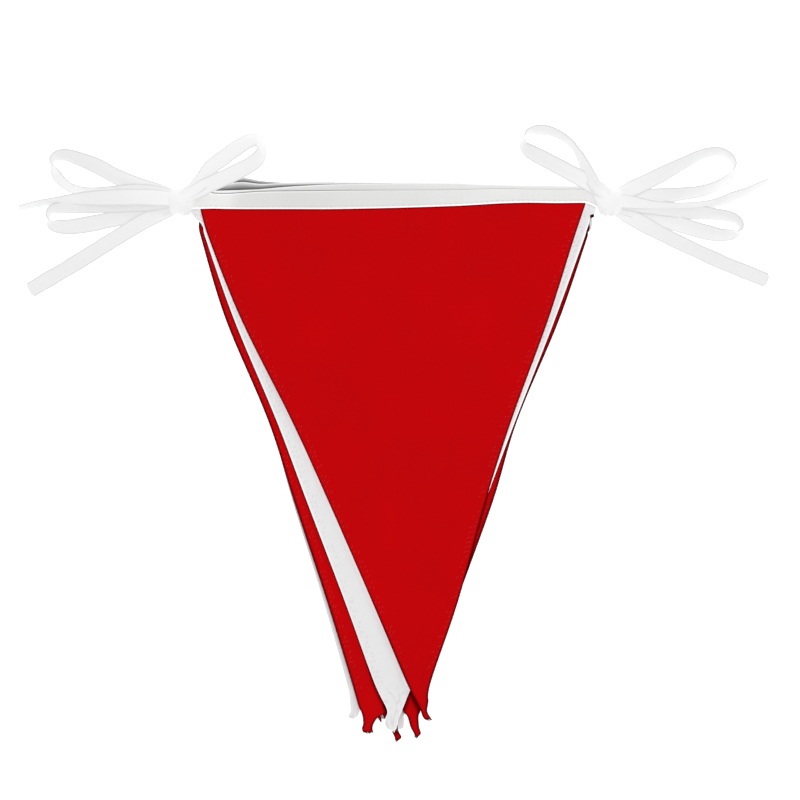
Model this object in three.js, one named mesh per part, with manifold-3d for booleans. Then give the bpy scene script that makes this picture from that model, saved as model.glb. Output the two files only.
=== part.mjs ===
// A pennant bunting, folded up and tied: eight triangular flags, red and white in turn,
// lie back and forth on each other, sewn to one white heading tape whose folds
// are held at both ends by a ribbon tied in a bow.
// Millimetres. The stack lies on its back on z = 0, the tips point to -Y and +Z is the side
// that shows. The origin is the middle of the outline, at the surface it lies on.
import * as THREE from "three";
import { mergeVertices } from "three/addons/utils/BufferGeometryUtils.js";
import Module from "manifold-3d";

const wasm = await Module();
wasm.setup();

// Cloth and how its layers lie
const CLOTH = 1.0;
const GAP = 0.3;
const PITCH = CLOTH + GAP;
const WAVE = { height: 2.0, count: 2.6, lean: 0.001, topY: 104, growsOver: 90 };
// The stack lifts towards the knots at its ends, over these reaches in x and in y.
const LIFT = { height: 1.5, fromX: 76, overX: 24, fromY: 60, overY: 45 };
const ROUGHNESS = 0.75;
const MERGE_DISTANCE = 1e-4;
const SLIVER = 0.02;

// Heading tape
const TAPE_WIDTH = 8.2;
const TAPE_END_X = 105.4;
const FOLD_STEPS = 4;
// Where the tape's middle line runs across the stack, and how far the loosest layer
// behind the front one rises above it there.
const TAPE_ROWS = [
  { x: -106, y: 115.3, rise: 0 },
  { x: -100, y: 115.5, rise: 0.6 },
  { x: -92, y: 115.8, rise: 3.0 },
  { x: -78, y: 116.0, rise: 6.6 },
  { x: -62, y: 116.1, rise: 4.9 },
  { x: -30, y: 116.2, rise: 4.2 },
  { x: 0, y: 116.6, rise: 4.0 },
  { x: 28, y: 117.0, rise: 3.8 },
  { x: 52, y: 117.6, rise: 2.7 },
  { x: 76, y: 118.1, rise: 1.8 },
  { x: 92, y: 117.6, rise: 1.0 },
  { x: 100, y: 115.6, rise: 0.3 },
  { x: 106, y: 115.2, rise: 0 },
];
// The part of that rise which each layer takes, front layer first.
const LAYER_RISE = [0, 0.25, 0.6, 1, 0.5, 0.75, 0.3, 0.6];

// Ribbon ties
const RIBBON_WIDTH = 8.2;
const RIBBON = 1.0;
const STEPS_PER_STATION = 2;
// The ribbon's width as it leaves the knot, where it is gathered, and how far that reaches.
const GATHER = { share: 0.6, reach: 18 };
const KNOT = {
  width: 11,
  length: 14,
  height: 13.6,
  middleZ: 6.4,
  square: 0.55,
  around: 16,
  rings: 12,
};
// The hollow in a knot for the tape's folds: how far it goes in and reaches out of the knot.
const POCKET = { depth: 5.8, mouth: 4, length: 9.4, floor: 1.2, roof: 12.1 };
// Boxes larger than the whole bunting, for cutting.
const CUTTER = { bottom: -10, top: 30 };
const ABOVE_SURFACE = { reach: 300, height: 60 };

// Flags, front to back. left and right say where the two sides run at each level, between
// the top corners and the neck above the frayed tip.
const LEVELS = [96, 56, 6, -34, -84, -124];
const FLAGS = [
  {
    colour: "red",
    corners: [-97.2, 95.2],
    left: [-92.5, -76.5, -51.5, -33.3, -11.5, 5.5],
    right: [89, 76.3, 58, 45.3, 31.5, 18],
    tip: { x: 16.5, y: -143.2, width: 4, neck: 2.4, neckX: 15.2 },
  },
  {
    colour: "white",
    corners: [-100.4, 100.2],
    left: [-94.5, -80, -59, -44, -25, -10.5],
    right: [93.3, 79.5, 60, 45, 26, 9.3],
    tip: { x: -1.5, y: -148, width: 5, neck: 6, neckX: -0.6 },
  },
  {
    colour: "red",
    corners: [-97.6, 99],
    left: [-96.8, -84.3, -63.3, -50.5, -34, -21.8],
    right: [93.6, 77, 56, 39, 17, -1.5],
    tip: { x: -13.5, y: -149.7, width: 6, neck: 4.6, neckX: -13.4 },
  },
  {
    colour: "white",
    corners: [-99, 98],
    left: [-96, -83, -62.8, -51.3, -37, -25.3],
    right: [86, 68, 45.5, 27.5, 5, -13.5],
    tip: { x: -21.3, y: -142.8, width: 5.4, neck: 4.8, neckX: -20.4 },
  },
  {
    colour: "red",
    corners: [-98, 96.5],
    left: [-90.5, -74.5, -54, -37.5, -17, -1],
    right: [95.2, 81.8, 61, 49, 31, 17.4],
    tip: { x: 11.5, y: -151.2, width: 3.4, neck: 4, neckX: 9.8 },
  },
  {
    colour: "white",
    corners: [-97.5, 96],
    left: [-91.2, -76, -57, -42, -23, -6.3],
    right: [89, 75, 57.5, 43, 27, 12.2],
    tip: { x: 2.8, y: -148.2, width: 4, neck: 3, neckX: 3.4 },
  },
  {
    colour: "red",
    corners: [-97, 96],
    left: [-91.5, -77, -59, -44.5, -26.5, -11.2],
    right: [88.5, 74, 56, 41, 22, 9.5],
    tip: { x: 0.8, y: -153.6, width: 4.6, neck: 3.4, neckX: 0 },
  },
  {
    colour: "white",
    corners: [-97, 95],
    left: [-91.5, -77.5, -60, -46, -28.5, -13],
    right: [87, 71, 52, 36.5, 16, 1.5],
    tip: { x: -6, y: -143.2, width: 4, neck: 3.6, neckX: -5.6 },
  },
];
const NECK_RISE = 4.5;
const COLOURS = { red: 0xc4080e, white: 0xf0f0f0 };

// One fan of columns and rows, shared by all flags, carries their heights, so that the
// layers keep their distance everywhere.
const FAN = { top: 126, bottom: -160, topLeft: -107, topRight: 107, bottomLeft: -33, bottomRight: 26 };
const COLUMNS = 17;
const ROWS = 12;
const ROWS_CROWD = 0.4;
const COVER_COLUMNS = { full: 2.1, none: 4.4 };
const COVER_BELOW_TIP = { full: 14, none: 30 };
// A row of the top edge closer to a corner than this is left out.
const CORNER_CLEAR = 3;

// Ribbon stations, outwards from the knot and back. roll turns the ribbon about its own
// length in degrees: 0 lies flat, 90 stands on its edge, + lifts its left-hand edge.
const LEFT_TIE = {
  knot: { x: -106.4, y: 115.7 },
  towardsStack: 1,
  ribbons: [
    [
      { x: -105.4, y: 117.8, z: 13, roll: 0 },
      { x: -97.4, y: 124.4, z: 15, roll: -14 },
      { x: -92, y: 132.1, z: 15.2, roll: -16 },
      { x: -85.8, y: 136.9, z: 13.8, roll: -12 },
      { x: -79.4, y: 141.6, z: 11.8, roll: -20 },
      { x: -73.9, y: 145.1, z: 10, roll: -30 },
      { x: -69.2, y: 146.2, z: 8.8, roll: -44 },
      { x: -66.9, y: 143.4, z: 8.6, roll: -58 },
      { x: -66.9, y: 139.4, z: 9.4, roll: -48 },
      { x: -69.5, y: 135.7, z: 11.4, roll: -20 },
      { x: -74.6, y: 132.3, z: 13.8, roll: -10 },
      { x: -81, y: 129, z: 15.8, roll: -6 },
      { x: -88.6, y: 125.5, z: 16.6, roll: -4 },
      { x: -96.2, y: 122, z: 15.4, roll: -4 },
      { x: -105.8, y: 117, z: 13.2, roll: 0 },
    ],
    [
      { x: -108.5, y: 117.4, z: 8.6, roll: 0 },
      { x: -122.5, y: 121.7, z: 9, roll: -10 },
      { x: -136.5, y: 126.6, z: 9.6, roll: -14 },
      { x: -148.9, y: 133.2, z: 9.6, roll: -18 },
      { x: -158.5, y: 137, z: 8.6, roll: -34 },
      { x: -165.6, y: 138.7, z: 7.6, roll: -46 },
      { x: -170.1, y: 136.8, z: 6.6, roll: -58 },
      { x: -171, y: 133.4, z: 5.8, roll: -102 },
      { x: -168.8, y: 128.5, z: 5.4, roll: -130 },
      { x: -165.2, y: 124.5, z: 5.4, roll: -127 },
      { x: -160.2, y: 121.6, z: 5.6, roll: -120 },
      { x: -152.4, y: 120.6, z: 6.2, roll: -114 },
      { x: -142.5, y: 120.2, z: 7.6, roll: -132 },
      { x: -132.5, y: 120.4, z: 9.2, roll: -150 },
      { x: -122.5, y: 120, z: 10.4, roll: -166 },
      { x: -109.5, y: 117.6, z: 10, roll: -180 },
    ],
    [
      { x: -110, y: 115.8, z: 6.6, roll: 0 },
      { x: -127.5, y: 114.4, z: 6, roll: -8 },
      { x: -142.5, y: 113.8, z: 5.4, roll: -18 },
      { x: -157.5, y: 113, z: 5.2, roll: -30 },
      { x: -166.5, y: 112.4, z: 4.8, roll: -42 },
      { x: -171.8, y: 110.8, z: 4.4, roll: -58 },
      { x: -173, y: 107.4, z: 4.2, roll: -80 },
      { x: -171.4, y: 104, z: 3.8, roll: -128 },
      { x: -165.2, y: 102.8, z: 2.8, roll: -154 },
      { x: -157.5, y: 103.4, z: 2.2, roll: -170 },
      { x: -147.5, y: 105.2, z: 2.4, roll: -174 },
      { x: -136.5, y: 107.6, z: 3.2, roll: -174 },
      { x: -124.5, y: 110.4, z: 4.4, roll: -174 },
      { x: -110, y: 113.6, z: 5.6, roll: -180 },
    ],
    [
      { x: -110, y: 116.6, z: 11, roll: 0 },
      { x: -124, y: 117.4, z: 12.6, roll: -4 },
      { x: -137.5, y: 117.4, z: 12.8, roll: -10 },
      { x: -148.5, y: 117.2, z: 12, roll: -26 },
      { x: -158.5, y: 116.7, z: 10.2, roll: -46 },
      { x: -167.5, y: 115.8, z: 8.4, roll: -60 },
      { x: -177.5, y: 114.4, z: 6.2, roll: -66 },
      { x: -188, y: 112, z: 4.4, roll: -72 },
    ],
    [
      { x: -109.5, y: 112.6, z: 5, roll: 0 },
      { x: -123, y: 106.8, z: 3.8, roll: -4 },
      { x: -139.4, y: 97.2, z: 2.8, roll: -10 },
      { x: -157.4, y: 86, z: 2, roll: -12 },
      { x: -168.6, y: 79.3, z: 1.6, roll: -12 },
      { x: -176.4, y: 74.75, z: 1.6, roll: -12 },
      { x: -183, y: 70.9, z: 1.6, roll: -12 },
    ],
  ],
};
const RIGHT_TIE = {
  knot: { x: 106.8, y: 115.4 },
  towardsStack: -1,
  ribbons: [
    [
      { x: 106.5, y: 118.4, z: 13, roll: 0 },
      { x: 100.4, y: 122.8, z: 16, roll: -30 },
      { x: 97.4, y: 127.8, z: 15.4, roll: -42 },
      { x: 94.6, y: 133.2, z: 13.8, roll: -50 },
      { x: 92.2, y: 138, z: 12, roll: -60 },
      { x: 90.2, y: 141.6, z: 10.9, roll: -68 },
      { x: 87.8, y: 144.7, z: 10, roll: -66 },
      { x: 83, y: 148.2, z: 8.8, roll: -60 },
      { x: 77.3, y: 150.6, z: 7.8, roll: -56 },
      { x: 71.6, y: 151.3, z: 7.2, roll: -56 },
      { x: 66.6, y: 150.2, z: 6.8, roll: -70 },
      { x: 63.9, y: 146.8, z: 6.9, roll: -98 },
      { x: 64.4, y: 143, z: 7.6, roll: -122 },
      { x: 68, y: 140.1, z: 9, roll: -150 },
      { x: 75.5, y: 136, z: 11.6, roll: -164 },
      { x: 85.5, y: 130.7, z: 13.4, roll: -172 },
      { x: 95.2, y: 125.4, z: 13.6, roll: -176 },
      { x: 106.5, y: 118.6, z: 12.4, roll: -180 },
    ],
    [
      { x: 109, y: 117.6, z: 9.6, roll: 0 },
      { x: 120.5, y: 122.8, z: 10.2, roll: 10 },
      { x: 132.5, y: 128.6, z: 10, roll: 22 },
      { x: 144, y: 134.6, z: 9, roll: 42 },
      { x: 153.5, y: 139.2, z: 7.8, roll: 56 },
      { x: 161.5, y: 140.4, z: 6.6, roll: 60 },
      { x: 167.2, y: 138, z: 5.8, roll: 64 },
      { x: 169.4, y: 133.8, z: 5.4, roll: 74 },
      { x: 168, y: 128.8, z: 5.1, roll: 112 },
      { x: 163.4, y: 124.9, z: 5, roll: 120 },
      { x: 154.5, y: 121, z: 5.4, roll: 132 },
      { x: 141.5, y: 119, z: 6.4, roll: 146 },
      { x: 126.5, y: 117.8, z: 7.8, roll: 168 },
      { x: 109.5, y: 116.4, z: 8.6, roll: 180 },
    ],
    [
      { x: 109.5, y: 115.8, z: 6.6, roll: 0 },
      { x: 125, y: 113.4, z: 5.6, roll: 6 },
      { x: 142.5, y: 110.9, z: 4.6, roll: 20 },
      { x: 157.5, y: 109.4, z: 4.4, roll: 40 },
      { x: 167.2, y: 108, z: 4.5, roll: 52 },
      { x: 171.8, y: 105.4, z: 4.5, roll: 62 },
      { x: 172.6, y: 102, z: 4.4, roll: 80 },
      { x: 169.4, y: 99.2, z: 3.8, roll: 126 },
      { x: 163, y: 98.8, z: 3.2, roll: 140 },
      { x: 154.5, y: 100.4, z: 2.6, roll: 158 },
      { x: 142.5, y: 103.9, z: 2.8, roll: 166 },
      { x: 130, y: 108, z: 4.2, roll: 174 },
      { x: 110.5, y: 113.6, z: 5.6, roll: 180 },
    ],
    [
      { x: 109, y: 116.2, z: 11, roll: 0 },
      { x: 118, y: 115, z: 11.4, roll: 34 },
      { x: 128, y: 113.8, z: 11, roll: 60 },
      { x: 142.5, y: 113.4, z: 10.2, roll: 70 },
      { x: 152.5, y: 114, z: 9, roll: 70 },
      { x: 161.5, y: 115, z: 6.6, roll: 57 },
      { x: 169.5, y: 118.2, z: 5, roll: 56 },
      { x: 178, y: 121.6, z: 4.8, roll: 66 },
      { x: 187.6, y: 126.7, z: 4.5, roll: 78 },
    ],
    [
      { x: 107.5, y: 113.2, z: 5, roll: 0 },
      { x: 117.5, y: 107.8, z: 4.4, roll: 8 },
      { x: 127.5, y: 102.3, z: 3.8, roll: 18 },
      { x: 137, y: 97.4, z: 3, roll: 26 },
      { x: 151, y: 90.8, z: 2.4, roll: 28 },
      { x: 163, y: 85.3, z: 2.3, roll: 28 },
      { x: 171, y: 82, z: 2.3, roll: 28 },
      { x: 178, y: 79.2, z: 2.3, roll: 28 },
      { x: 186.5, y: 75.8, z: 2.3, roll: 28 },
    ],
  ],
};

const clamp = (t) => Math.min(1, Math.max(0, t));
const smooth = (t) => clamp(t) ** 2 * (3 - 2 * clamp(t));
const between = (a, b, t) => a + (b - a) * t;

// Reads one column of a table of rows at a place between them.
function read(rows, key, at, column) {
  const increasing = rows[rows.length - 1][key] > rows[0][key];
  const passed = (row) => (increasing ? row[key] >= at : row[key] <= at);
  const next = Math.max(1, rows.findIndex((row, i) => i > 0 && (passed(row) || i === rows.length - 1)));
  const [a, b] = [rows[next - 1], rows[next]];
  return between(a[column], b[column], clamp((at - a[key]) / (b[key] - a[key])));
}

function solidFrom(geometry) {
  geometry.deleteAttribute("normal");
  geometry.deleteAttribute("uv");
  const merged = mergeVertices(geometry, MERGE_DISTANCE);
  return new wasm.Manifold(
    new wasm.Mesh({
      numProp: 3,
      vertProperties: merged.attributes.position.array,
      triVerts: new Uint32Array(merged.index.array),
    })
  );
}

function meshFrom(name, solid, material) {
  const made = solid.getMesh();
  const geometry = new THREE.BufferGeometry();
  geometry.setAttribute("position", new THREE.BufferAttribute(made.vertProperties, 3));
  geometry.setIndex(new THREE.BufferAttribute(made.triVerts, 1));
  geometry.computeVertexNormals();
  const mesh = new THREE.Mesh(geometry, material);
  mesh.name = name;
  return mesh;
}

// Joins a row of closed sections, each with the same number of points, into a closed skin.
function loft(sections) {
  const size = sections[0].length;
  const points = sections.flat().flatMap((p) => [p.x, p.y, p.z]);
  const faces = [];
  for (let s = 0; s + 1 < sections.length; s++) {
    for (let i = 0; i < size; i++) {
      const [a, b] = [s * size + i, s * size + ((i + 1) % size)];
      faces.push(a, b, a + size, b, b + size, a + size);
    }
  }
  const last = (sections.length - 1) * size;
  for (let i = 1; i + 1 < size; i++) {
    faces.push(0, i + 1, i, last, last + i, last + i + 1);
  }
  const geometry = new THREE.BufferGeometry();
  geometry.setAttribute("position", new THREE.BufferAttribute(new Float32Array(points), 3));
  geometry.setIndex(faces);
  return solidFrom(geometry);
}

// The four corners of a flat strip's section: across is the strip's width direction, up its face.
function stripSection(middle, across, up, width, thickness) {
  const signs = [
    [-1, -1],
    [1, -1],
    [1, 1],
    [-1, 1],
  ];
  return signs.map(([a, u]) =>
    middle
      .clone()
      .addScaledVector(across, (a * width) / 2)
      .addScaledVector(up, (u * thickness) / 2)
  );
}

const tapeMiddle = (x) => read(TAPE_ROWS, "x", x, "y");
const tapeRise = (x, layer) => LAYER_RISE[layer] * read(TAPE_ROWS, "x", x, "rise");

// The stack lifts a little towards the knots, whose lowest turn passes under it.
function lift(x, y) {
  const towardsKnot = smooth((Math.abs(x) - LIFT.fromX) / LIFT.overX);
  return LIFT.height * towardsKnot * smooth((y - LIFT.fromY) / LIFT.overY);
}

// The rows of one side of a flag, from its top corner to its tip; side is -1 left, +1 right.
function sideRows(flag, side, layer) {
  const corner = flag.corners[side < 0 ? 0 : 1];
  const levels = side < 0 ? flag.left : flag.right;
  const tip = flag.tip;
  return [
    { x: corner, y: topEdge(corner, layer) },
    ...LEVELS.map((y, i) => ({ x: levels[i], y })),
    { x: tip.neckX + (side * tip.neck) / 2, y: tip.y + NECK_RISE },
    { x: tip.x + (side * tip.width) / 2, y: tip.y },
  ];
}

const topEdge = (x, layer) => tapeMiddle(x) + tapeRise(x, layer) - TAPE_WIDTH / 2 - GAP;

const fanLeft = (y) => between(FAN.bottomLeft, FAN.topLeft, (y - FAN.bottom) / (FAN.top - FAN.bottom));
const fanRight = (y) => between(FAN.bottomRight, FAN.topRight, (y - FAN.bottom) / (FAN.top - FAN.bottom));
const fanColumn = (x, y) => (COLUMNS * (x - fanLeft(y))) / (fanRight(y) - fanLeft(y));

// How much of a flag's thickness a layer above it still feels at a point: 1 on the flag
// and close to it, falling to 0 beside it and below its tip.
function cover(flag, layer, x, y) {
  const column = fanColumn(x, y);
  const left = fanColumn(read(sideRows(flag, -1, layer), "y", y, "x"), y);
  const right = fanColumn(read(sideRows(flag, 1, layer), "y", y, "x"), y);
  const beside = Math.max(0, left - column, column - right);
  const below = Math.max(0, flag.tip.y - y);
  const besideShare = smooth((beside - COVER_COLUMNS.full) / (COVER_COLUMNS.none - COVER_COLUMNS.full));
  const belowShare = smooth((below - COVER_BELOW_TIP.full) / (COVER_BELOW_TIP.none - COVER_BELOW_TIP.full));
  return (1 - besideShare) * (1 - belowShare);
}

// Soft lengthwise waves, none at the heading and more towards the tips.
function wave(x, y) {
  const down = smooth((WAVE.topY - y) / WAVE.growsOver);
  const waves = WAVE.count * (fanColumn(x, y) / COLUMNS) - WAVE.lean * y;
  return (down * (1 + Math.sin(2 * Math.PI * waves))) / 2;
}

// The underside of a flag at a point; layer 0 is the front flag, which lies on all others.
function underside(layer, x, y) {
  const below = FLAGS.slice(layer + 1);
  const stacked = below.reduce((sum, flag, i) => sum + PITCH * cover(flag, layer + 1 + i, x, y), 0);
  const wavy = (WAVE.height * below.length * wave(x, y)) / (FLAGS.length - 1);
  return lift(x, y) + stacked + wavy;
}

// A layer of cloth over the whole fan.
function fanLayer(layer) {
  const points = [];
  for (const thickness of [0, CLOTH]) {
    for (let r = 0; r <= ROWS; r++) {
      const s = r / ROWS;
      const down = between(s, Math.sin((s * Math.PI) / 2), ROWS_CROWD);
      const y = between(FAN.top, FAN.bottom, down);
      for (let c = 0; c <= COLUMNS; c++) {
        const x = between(fanLeft(y), fanRight(y), c / COLUMNS);
        points.push(x, y, underside(layer, x, y) + thickness);
      }
    }
  }
  const at = (side, r, c) => (side * (ROWS + 1) + r) * (COLUMNS + 1) + c;
  const faces = [];
  const quad = (a, b, c, d) => faces.push(a, b, c, a, c, d);
  for (let r = 0; r < ROWS; r++) {
    for (let c = 0; c < COLUMNS; c++) {
      quad(at(0, r, c), at(0, r, c + 1), at(0, r + 1, c + 1), at(0, r + 1, c));
      faces.push(at(1, r, c), at(1, r + 1, c + 1), at(1, r, c + 1));
      faces.push(at(1, r, c), at(1, r + 1, c), at(1, r + 1, c + 1));
    }
    quad(at(0, r, 0), at(0, r + 1, 0), at(1, r + 1, 0), at(1, r, 0));
    quad(at(0, r, COLUMNS), at(1, r, COLUMNS), at(1, r + 1, COLUMNS), at(0, r + 1, COLUMNS));
  }
  for (let c = 0; c < COLUMNS; c++) {
    quad(at(0, 0, c), at(1, 0, c), at(1, 0, c + 1), at(0, 0, c + 1));
    quad(at(0, ROWS, c), at(0, ROWS, c + 1), at(1, ROWS, c + 1), at(1, ROWS, c));
  }
  const geometry = new THREE.BufferGeometry();
  geometry.setAttribute("position", new THREE.BufferAttribute(new Float32Array(points), 3));
  geometry.setIndex(faces);
  return solidFrom(geometry);
}

// A flag is its layer of the fan, cut along its outline.
function flagSolid(flag, layer) {
  const left = sideRows(flag, -1, layer);
  const right = sideRows(flag, 1, layer);
  const inside = (row) => row.x > left[0].x + CORNER_CLEAR && row.x < right[0].x - CORNER_CLEAR;
  const top = TAPE_ROWS.filter(inside).map((row) => ({ x: row.x, y: topEdge(row.x, layer) }));
  const outline = [...left.slice().reverse(), ...top, ...right];
  const shape = new THREE.Shape(outline.map((p) => new THREE.Vector2(p.x, p.y)));
  const depth = CUTTER.top - CUTTER.bottom;
  const cutter = new THREE.ExtrudeGeometry(shape, { depth, bevelEnabled: false });
  cutter.translate(0, 0, CUTTER.bottom);
  return fanLayer(layer).intersect(solidFrom(cutter));
}

// The tape runs back and forth once for each flag, rounding a tight fold between layers.
function headingSolid() {
  const across = new THREE.Vector3(0, 1, 0);
  const sections = [];
  const add = (x, layer, nextLayer, share, turn, outwards) => {
    const y = tapeMiddle(x) + between(tapeRise(x, layer), tapeRise(x, nextLayer), share);
    const height = (FLAGS.length - 1 - layer) * PITCH + CLOTH / 2 + lift(x, y);
    const fold = PITCH / 2;
    const middle = new THREE.Vector3(
      x + outwards * fold * Math.sin(turn),
      y,
      height + fold * (1 - Math.cos(turn))
    );
    const up = new THREE.Vector3(-Math.sin(turn), 0, outwards * Math.cos(turn));
    sections.push(stripSection(middle, across, up, TAPE_WIDTH, CLOTH));
  };
  for (let n = 0; n < FLAGS.length; n++) {
    const layer = FLAGS.length - 1 - n;
    const outwards = n % 2 === 0 ? 1 : -1;
    const inner = TAPE_ROWS.filter((row) => Math.abs(row.x) < TAPE_END_X);
    const rows = outwards > 0 ? inner : inner.slice().reverse();
    add(-outwards * TAPE_END_X, layer, layer, 0, 0, outwards);
    rows.forEach((row) => add(row.x, layer, layer, 0, 0, outwards));
    add(outwards * TAPE_END_X, layer, layer, 0, 0, outwards);
    if (n + 1 < FLAGS.length) {
      for (let i = 1; i < FOLD_STEPS; i++) {
        const share = i / FOLD_STEPS;
        add(outwards * TAPE_END_X, layer, layer - 1, share, share * Math.PI, outwards);
      }
    }
  }
  return sections;
}

// A strip whose sections run along a smooth line through the stations.
function ribbonSections(stations, knot) {
  const line = new THREE.CatmullRomCurve3(stations.map((s) => new THREE.Vector3(s.x, s.y, s.z)));
  const count = (stations.length - 1) * STEPS_PER_STATION;
  const sections = [];
  for (let i = 0; i <= count; i++) {
    const place = i / STEPS_PER_STATION;
    const from = Math.min(Math.floor(place), stations.length - 2);
    const roll = THREE.MathUtils.degToRad(
      between(stations[from].roll, stations[from + 1].roll, place - from)
    );
    const middle = line.getPoint(i / count);
    const along = line.getTangent(i / count);
    const sideways = new THREE.Vector3(-along.y, along.x, 0).normalize();
    const across = sideways.multiplyScalar(Math.cos(roll)).add(new THREE.Vector3(0, 0, Math.sin(roll)));
    across.addScaledVector(along, -along.dot(across)).normalize();
    const up = new THREE.Vector3().crossVectors(along, across);
    const fromKnot = Math.hypot(middle.x - knot.x, middle.y - knot.y);
    const width = RIBBON_WIDTH * between(GATHER.share, 1, smooth(fromKnot / GATHER.reach));
    sections.push(stripSection(middle, across, up, width, RIBBON));
  }
  return sections;
}

// A loop meets itself at the knot, so it is made as two halves.
function ribbonHalves(stations, knot) {
  const sections = ribbonSections(stations, knot);
  const half = Math.floor(sections.length / 2);
  return [sections.slice(0, half + 1), sections.slice(half)];
}

function box(x0, x1, y0, y1, z0, z1) {
  const geometry = new THREE.BoxGeometry(x1 - x0, y1 - y0, z1 - z0);
  geometry.translate((x0 + x1) / 2, (y0 + y1) / 2, (z0 + z1) / 2);
  return solidFrom(geometry);
}

function knotSolid(place) {
  const geometry = new THREE.SphereGeometry(1, KNOT.around, KNOT.rings);
  geometry.rotateX(Math.PI / 2);
  const position = geometry.attributes.position;
  const squared = (t) => Math.sign(t) * Math.abs(t) ** KNOT.square;
  for (let i = 0; i < position.count; i++) {
    position.setXYZ(
      i,
      place.x + (squared(position.getX(i)) * KNOT.width) / 2,
      place.y + (squared(position.getY(i)) * KNOT.length) / 2,
      KNOT.middleZ + squared(position.getZ(i)) * (KNOT.height - KNOT.middleZ)
    );
  }
  return solidFrom(geometry);
}

function tieSolid(tie) {
  const { knot, towardsStack } = tie;
  const inner = knot.x + (towardsStack * KNOT.width) / 2;
  const deep = inner - towardsStack * POCKET.depth;
  const out = inner + towardsStack * POCKET.mouth;
  const tapeY = tapeMiddle((inner + deep) / 2);
  const pocket = box(
    Math.min(deep, out),
    Math.max(deep, out),
    tapeY - POCKET.length / 2,
    tapeY + POCKET.length / 2,
    POCKET.floor,
    POCKET.roof
  );
  let solid = knotSolid(knot);
  for (const stations of tie.ribbons) {
    for (const half of ribbonHalves(stations, knot)) solid = solid.add(loft(half));
  }
  const { reach, height } = ABOVE_SURFACE;
  const aboveSurface = box(-reach, reach, -reach, reach, 0, height);
  return solid.subtract(pocket).intersect(aboveSurface).simplify(SLIVER);
}

const clothMaterial = (colour) =>
  new THREE.MeshStandardMaterial({ color: COLOURS[colour], roughness: ROUGHNESS, metalness: 0 });

const bunting = new THREE.Group();
FLAGS.forEach((flag, layer) => {
  const name = "pennant_" + (layer + 1) + "_" + flag.colour;
  bunting.add(meshFrom(name, flagSolid(flag, layer), clothMaterial(flag.colour)));
});
bunting.add(meshFrom("heading_tape", loft(headingSolid()), clothMaterial("white")));
bunting.add(meshFrom("tie_left", tieSolid(LEFT_TIE), clothMaterial("white")));
bunting.add(meshFrom("tie_right", tieSolid(RIGHT_TIE), clothMaterial("white")));

export default bunting;
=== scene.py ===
import math

import bpy
import numpy as np
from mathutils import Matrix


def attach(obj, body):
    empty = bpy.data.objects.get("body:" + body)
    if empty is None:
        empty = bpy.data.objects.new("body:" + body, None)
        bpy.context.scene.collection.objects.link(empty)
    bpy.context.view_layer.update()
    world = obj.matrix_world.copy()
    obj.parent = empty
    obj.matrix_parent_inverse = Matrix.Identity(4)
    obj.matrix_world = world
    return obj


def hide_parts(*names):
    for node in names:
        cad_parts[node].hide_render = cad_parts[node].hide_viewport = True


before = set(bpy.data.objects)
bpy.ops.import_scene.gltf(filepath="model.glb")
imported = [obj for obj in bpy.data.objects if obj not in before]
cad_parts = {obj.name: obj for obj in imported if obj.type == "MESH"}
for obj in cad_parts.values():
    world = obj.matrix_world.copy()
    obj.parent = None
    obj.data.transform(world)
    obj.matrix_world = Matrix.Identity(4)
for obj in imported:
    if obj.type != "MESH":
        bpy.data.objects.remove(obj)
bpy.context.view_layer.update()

# Camera.
# The folded bunting lies on its back and is seen from straight above, from far away,
# with the heading across the top of the view and the tips at the foot.
MM = 0.001
VIEW_CENTRE = (2.5, 16.25)
VIEW_SIDE = 400
CAMERA_HEIGHT = 6000
SENSOR = 36

camera = bpy.data.objects.new("camera", bpy.data.cameras.new("camera"))
camera.data.sensor_width = SENSOR
camera.data.lens = SENSOR * CAMERA_HEIGHT / VIEW_SIDE
camera.location = (VIEW_CENTRE[0] * MM, VIEW_CENTRE[1] * MM, CAMERA_HEIGHT * MM)
bpy.context.scene.collection.objects.link(camera)
bpy.context.scene.camera = camera

# Pennants.
# Eight triangles of thin woven polyester, red and white in turn, lie on each other. Both long
# sides are turned under and sewn, and the tips end in the frayed tail of the turned-in hems.

# The cloth's thickness, a pennant's with its hems, and the step from one pennant to the next.
CLOTH = 0.2
LAYER = 1.0
PITCH = 1.3
# A hem's width and how far its two cloths are apart, and how far a pennant goes up into the tape.
HEM = 5.0
HEM_RISE = 0.44
TUCK = 3.0
LEVELS = (96, 56, 6, -34, -84, -124)
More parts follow.
